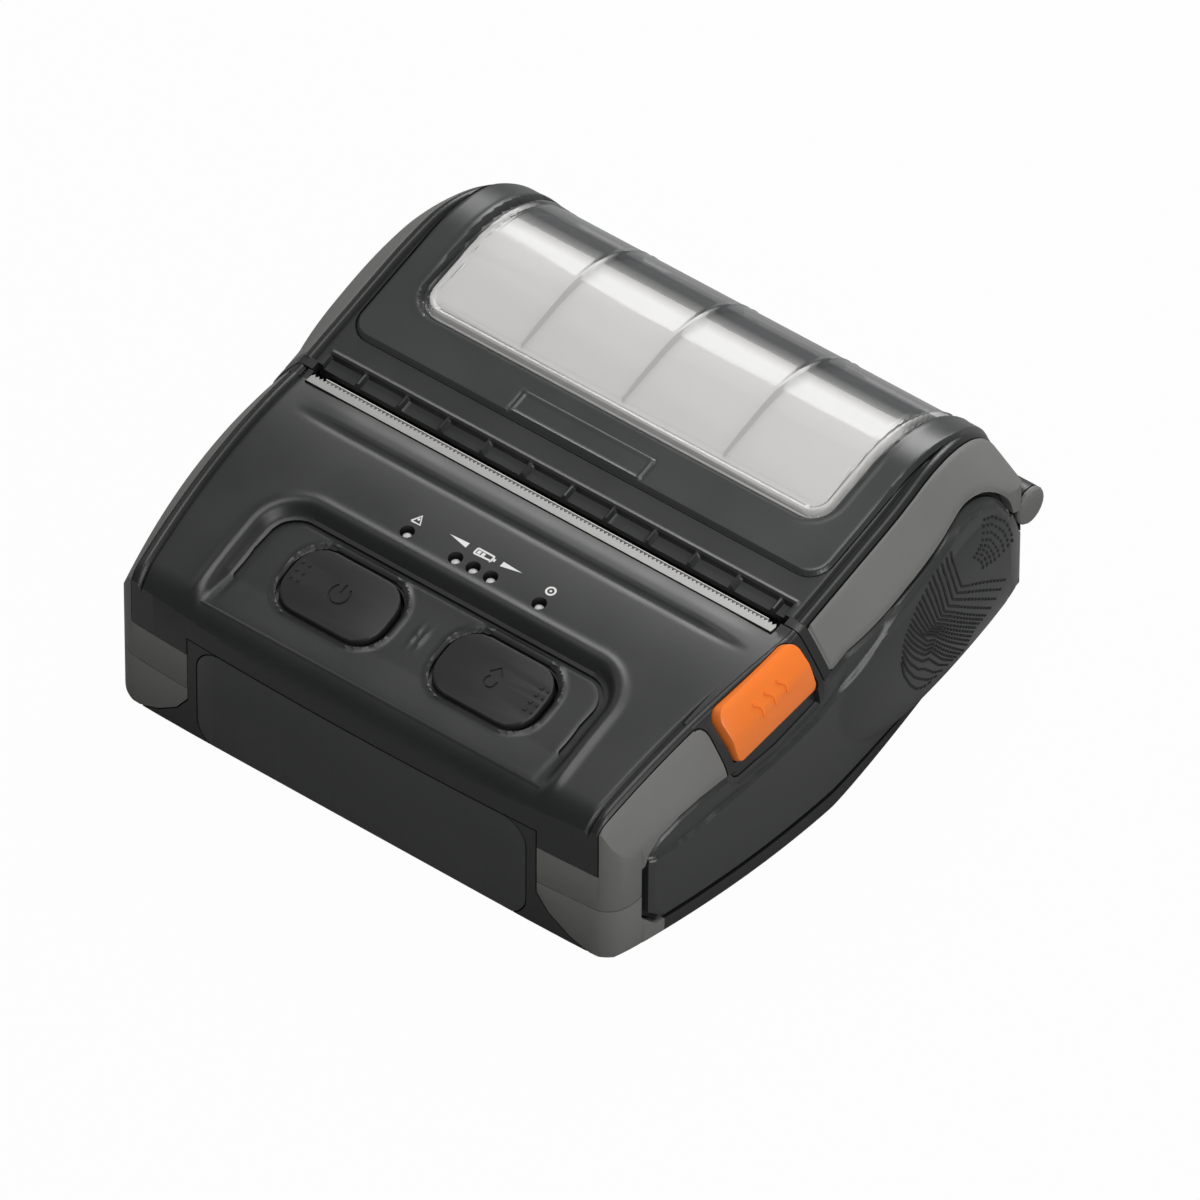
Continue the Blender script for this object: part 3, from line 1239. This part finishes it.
def makeKey(x, name, node, symbol, marks):
    middle, half = deck["keyY"], keys["half"]
    flangeTop = padHeight(middle, deck["padDepth"] + deck["padFloor"]) - 2 * gap
    flangeFoot = flangeTop - keys["flangeThickness"]

    def layer(low, high, steps=60):
        return bandAcross(low, high, middle - half, middle + half, steps)

    def marked(outline):
        return upward([(x + a, middle + b) for a, b in outline])

    cap = layer(lambda y: flangeFoot, keyTop, 8)
    cap = rounded(keep(cap, upward(roundedBox(*keyBox(x, 0), 5))), keys["chamfer"], 3)
    for outline in symbol:
        sunk = layer(lambda y: keyTop(y) - keys["deboss"], lambda y: keyTop(y) + 5)
        cap = cutAway(cap, keep(marked(outline), sunk))
    for outline in marks:
        raised = layer(lambda y: keyTop(y) - 0.5, lambda y: keyTop(y) + keys["proud"])
        cap = joined(cap, keep(marked(outline), raised))
    flange = upward(roundedBox(*keyBox(x, keys["flange"])), flangeFoot, flangeTop)
    stem = post(keys["stemRadius"], x, middle, keys["stemFoot"], flangeTop - 0.3, 24)
    finished(joined(cap, flange, stem), name, "mouldedSilicone", node, node, angle=25)


def ring(cx, cy, radius, start, end, width):
    return stroke(arc(cx, cy, radius, radius, start, end, 24), width)


def makeKeys():
    size, line, left, right = keys["symbol"], keys["line"], *deck["keyPlaces"]
    power = [ring(0, 0, size, quarter + 0.7, 5 * quarter - 0.7, line),
             stroke([(0, 0.3), (0, size + 0.2)], line)]
    dots = [circle(a, b, keys["dotRadius"], 16) for a, b in keys["dots"]]
    makeKey(left, "powerKeyCap", "power_key", power, dots)
    feed = [stroke([(-1.5, 0.9), (0, 2.6), (1.5, 0.9)], line),
            ring(0, -0.9, 1.3, quarter + 0.6, 4 * quarter + 0.4, line)]
    bars = [stroke([(9.4, at), (10.2, at)], keys["barLine"]) for at in keys["bars"]]
    bars += [circle(11.4, at, keys["barDot"], 16) for at in keys["bars"]]
    makeKey(right, "feedKeyCap", "feed_key", feed, bars)


def makeLamps():
    y, radius, dome = deck["lampY"], lens["radius"], lens["dome"]
    shoulder = topHeight(y) - lens["sink"] - dome
    profile = [(radius, lens["foot"]), (radius, shoulder)]
    profile += [(radius * math.cos(turn), shoulder + dome * math.sin(turn)) for turn in spread(0, 1.4, 8)]
    for i, x in enumerate(deck["lamps"]):
        rings = [[(a, b, z) for a, b in circle(x, y, r, 32)] for r, z in profile]
        node = "status_lens_" + str(i + 1)
        finished(loft("lens", rings), "lightGuide" + str(i + 1), "cloudyPolycarbonate", "base", node)


def makeSigns():
    # warning triangle, battery and status ring in place of captions, and the wedges beside the battery
    row, tall, line = signs["row"], signs["height"] / 2, signs["line"]
    left, right = deck["lamps"][0], deck["lamps"][-1]
    triangle = [(left + x, row + z) for x, z in ((-1.1, -tall), (0, tall), (1.1, -tall), (-1.1, -tall))]
    outlines = [stroke(triangle, line), stroke([(left, row + 0.3), (left, row - 0.3)], line)]
    case = roundedBox(-2.2, row - 0.75, 1.9, row + 0.75, 0.25, 3) + [(1.9, row - 0.5)]
    outlines += [stroke(case, line), box(2.2, row - 0.35, 2.65, row + 0.35)]
    outlines += [box(cell, row - 0.4, cell + 0.75, row + 0.4) for cell in (-1.75, -0.7)]
    outlines += [ring(right, row, tall - 0.1, 0, 4 * quarter, line), circle(right, row, 0.28, 16)]
    outlines += [[(tip, row + 0.5), (root, row - 0.55), (root, row + 0.75)] for tip, root in signs["wedges"]]
    marks = []
    for outline in outlines:
        layer = bandAcross(lambda y: topHeight(y) - 0.2, lambda y: topHeight(y) + signs["proud"],
                           row - 3, row + 3, 20)
        marks.append(keep(upward(outline), layer))
    finished(joined(*marks), "lampSigns", "padPrintedInk", "base")


def makeButton():
    low, profile, (heelX, heelZ) = button["foot"], button["profile"], button["heel"]
    inner, outer = profile[0][0] - 1, button["outer"] + 1
    outline = [(inner, low), (heelX, low), (outer, heelZ), (outer, -1.25), *profile[::-1], (inner, 0.4)]
    cap = keep(upward(buttonOutline(0), low, 3), prism(outline, -30, 30, "Y"))
    cap = rounded(cap, button["edge"], 2)
    for at in button["ridges"]:
        curve = [(-1.6 + 3.4 * share, at + share + 0.9 * math.sin(share * 3)) for share in spread(0, 1, 10)]
        cap = joined(cap, upward(stroke(curve, button["ridgeWidth"]), -0.4, 1.3))
    ontoShoulder(cap)
    half, foot = button["length"] / 2 + button["lip"], low - button["lipDepth"]
    flange = upward(roundedBox(0, -half, button["lipWidth"], half, 0.15, 3), foot, low + 0.15)
    flange = keep(ontoShoulder(flange), plainForm(wall + gap))
    x, y, foot, half = button["stem"]
    stem = upward(box(x - half, y - half, x + half, y + half), foot, foot + 2 * half + wall)
    cap = joined(cap, flange, stem)
    finished(cap, "releaseCap", "orangeAbs", "release_button", "release_button", angle=25)


makeKeys()
makeLamps()
makeSigns()
makeButton()
print("keys, lamps, signs and button are made")

# Each row of the grip pattern is a ridge and a dotted line that goes on from it, as (y, z) places;
# the rows between them are worked out
grip = {
    "width": 0.85, "height": 0.16, "root": 0.25, "dash": 0.62,
    "rows": {"chevrons": 11, "lobes": 7, "fans": 7},
    "chevrons": (
        (((31.2, 46.7), (31.4, 44.4), (31.5, 42.0), (31.9, 39.6), (32.5, 37.3)),
         ((34.5, 36.2), (38.5, 34.0), (42.6, 31.5), (47.0, 28.5))),
        (((25.2, 45.7), (25.9, 42.6), (26.4, 39.0), (27.1, 35.0)),
         ((30.3, 32.4), (34.5, 28.8), (41.5, 23.0))),
        (((20.7, 42.4), (21.6, 38.7), (23.5, 33.7)), ((26.3, 31.4), (30.5, 27.8), (37.6, 21.8))),
        (((17.2, 39.5), (18.6, 36.3), (20.4, 33.2)), ((24.0, 30.3), (28.0, 25.9), (36.3, 18.0))),
    ),
    "lobes": (
        (((16.5, 38.6), (17.8, 35.9), (19.5, 33.5), (21.5, 30.7)),
         ((23.5, 29.6), (26.6, 25.9), (31.5, 20.9), (35.4, 17.0))),
        (((14.2, 35.7), (15.7, 32.9), (17.5, 30.2), (20.4, 27.1)),
         ((22.5, 26.6), (26.4, 21.4), (30.8, 17.5))),
        (((13.3, 30.9), (14.1, 26.9), (16.5, 22.3)), ((19.1, 19.1), (22.0, 17.4), (24.2, 17.1))),
    ),
    "fans": (
        (((43.2, 45.9), (46.0, 44.8), (49.4, 41.3)), ((50.3, 37.8), (50.1, 36.1))),
        (((40.4, 42.5), (42.9, 40.9), (44.1, 37.6)), ((44.3, 36.3), (44.3, 36.0))),
        (((37.3, 41.4), (39.2, 39.2), (39.7, 37.6)), ((39.7, 37.2), (39.7, 36.9))),
    ),
}


def evenly(points, count):
    # the same line with a number of points at even distances
    lengths = [math.dist(a, b) for a, b in zip(points, points[1:])]
    made = []
    for at in spread(0, sum(lengths), count - 1):
        i = 0
        while i < len(lengths) - 1 and at > lengths[i]:
            at -= lengths[i]
            i += 1
        share = min(at / lengths[i], 1)
        made.append(tuple(a + (b - a) * share for a, b in zip(points[i], points[i + 1])))
    return made


def between(first, second, share):
    pairs = zip(evenly(first, 9), evenly(second, 9))
    return [tuple(a + (b - a) * share for a, b in zip(p, q)) for p, q in pairs]


def wallAt(y, z):
    line = [(height, x) for x, height in wallLine(y, 12) + shoulderLine(y)[1:3]]
    return heightOn(line, z) + gripSink(y, z)


def ridge(points):
    # raised strip on the side wall along a line of (y, z) places
    half, height, root = grip["width"] / 2, grip["height"], -grip["root"]
    rings = []
    for i, (y, z) in enumerate(points):
        (ay, az), (by, bz) = points[max(i - 1, 0)], points[min(i + 1, len(points) - 1)]
        size = math.hypot(by - ay, bz - az)
        ny, nz = (az - bz) / size * half, (by - ay) / size * half
        rings.append([(wallAt(y + ny * t, z + nz * t) + lift, y + ny * t, z + nz * t)
                      for t, lift in ((-1, root), (-0.55, height), (0.55, height), (1, root))])
    return rings


def gripLines():
    # every ridge and dash of the pattern as a line of places
    lines = []
    for family, steps in grip["rows"].items():
        rows = grip[family]
        for share in spread(0, len(rows) - 1.001, steps):
            first, second = rows[int(share)], rows[int(share) + 1]
            plain, dotted = [between(a, b, share % 1) for a, b in zip(first, second)]
            if family == "fans":
                dotted = plain + dotted
            else:
                lines.append(evenly(plain + dotted[:1], 20))
            length = sum(math.dist(a, b) for a, b in zip(dotted, dotted[1:]))
            dots = evenly(dotted, max(int(length / grip["dash"] / 2) * 2, 4))
            lines += [list(dash) for dash in list(zip(dots, dots[1:]))[::2]]
    return lines


def makeGrip():
    points, faces = [], []
    for line in gripLines():
        rings = ridge(line)
        base, count = len(points), len(rings[0])
        for one in rings:
            points.extend(one)
        for a in range(base, len(points) - count, count):
            faces += [(a + j, a + (j + 1) % count, a + count + (j + 1) % count, a + count + j)
                      for j in range(count)]
        faces.append(tuple(range(base + count - 1, base - 1, -1)))
        faces.append(tuple(range(len(points) - count, len(points))))
    right = solid("gripRidges", points, faces)
    finishedPair(right, "gripRidges", "nitrileRubber", "base")


makeGrip()
print("grip ridges are made")

# Paper roll, with more sides than its solid so that it looks round
roll = {"y": 32.5, "z": 29.6, "radius": 23.5, "half": 55.7, "bore": 9.8}
coil = cutAway(rod(roll["radius"], -roll["half"], roll["half"], roll["y"], roll["z"], 180),
               rod(roll["bore"], -60, 60, roll["y"], roll["z"], 72))
finished(coil, "paperCoil", "calenderedPaper", "roll", "paper_roll")

# Pieces that keep their solid and only get a finish
finishes = {
    "greyElastomer": ["pin_cap_right", "pin_cap_left"],
    "filledNylon": ["roll_bay", "power_switch", "feed_switch", "battery_contacts", "charge_socket",
                    "battery_case", "roll_core"],
    "zincSteel": ["head_frame", "head_spring", "motor", "usb_socket", "hinge_pin", "print_head",
                  "battery_terminals", "platen_shaft", "motor_pinion"]
                 + ["case_screw_" + str(i) for i in (1, 2, 3, 4)],
    "drawnStainless": ["tear_bar"],
    "nitrileRubber": ["platen_rubber"] + ["rubber_foot_" + str(i) for i in (1, 2, 3, 4)],
    "calenderedPaper": ["paper_web"],
    "solderMask": ["circuit_board", "port_board"],
    "mouldedAcetal": ["thermal_strip", "platen_bush_right", "platen_bush_left", "platen_gear", "idler_gear"],
}
for material, names in finishes.items():
    for name in names:
        nodes[name].data.materials.clear()
        nodes[name].data.materials.append(bpy.data.materials[material])

for helper in [softSides["whole"], *plainForms.values()]:
    bpy.data.objects.remove(helper)
print("finishes are set")
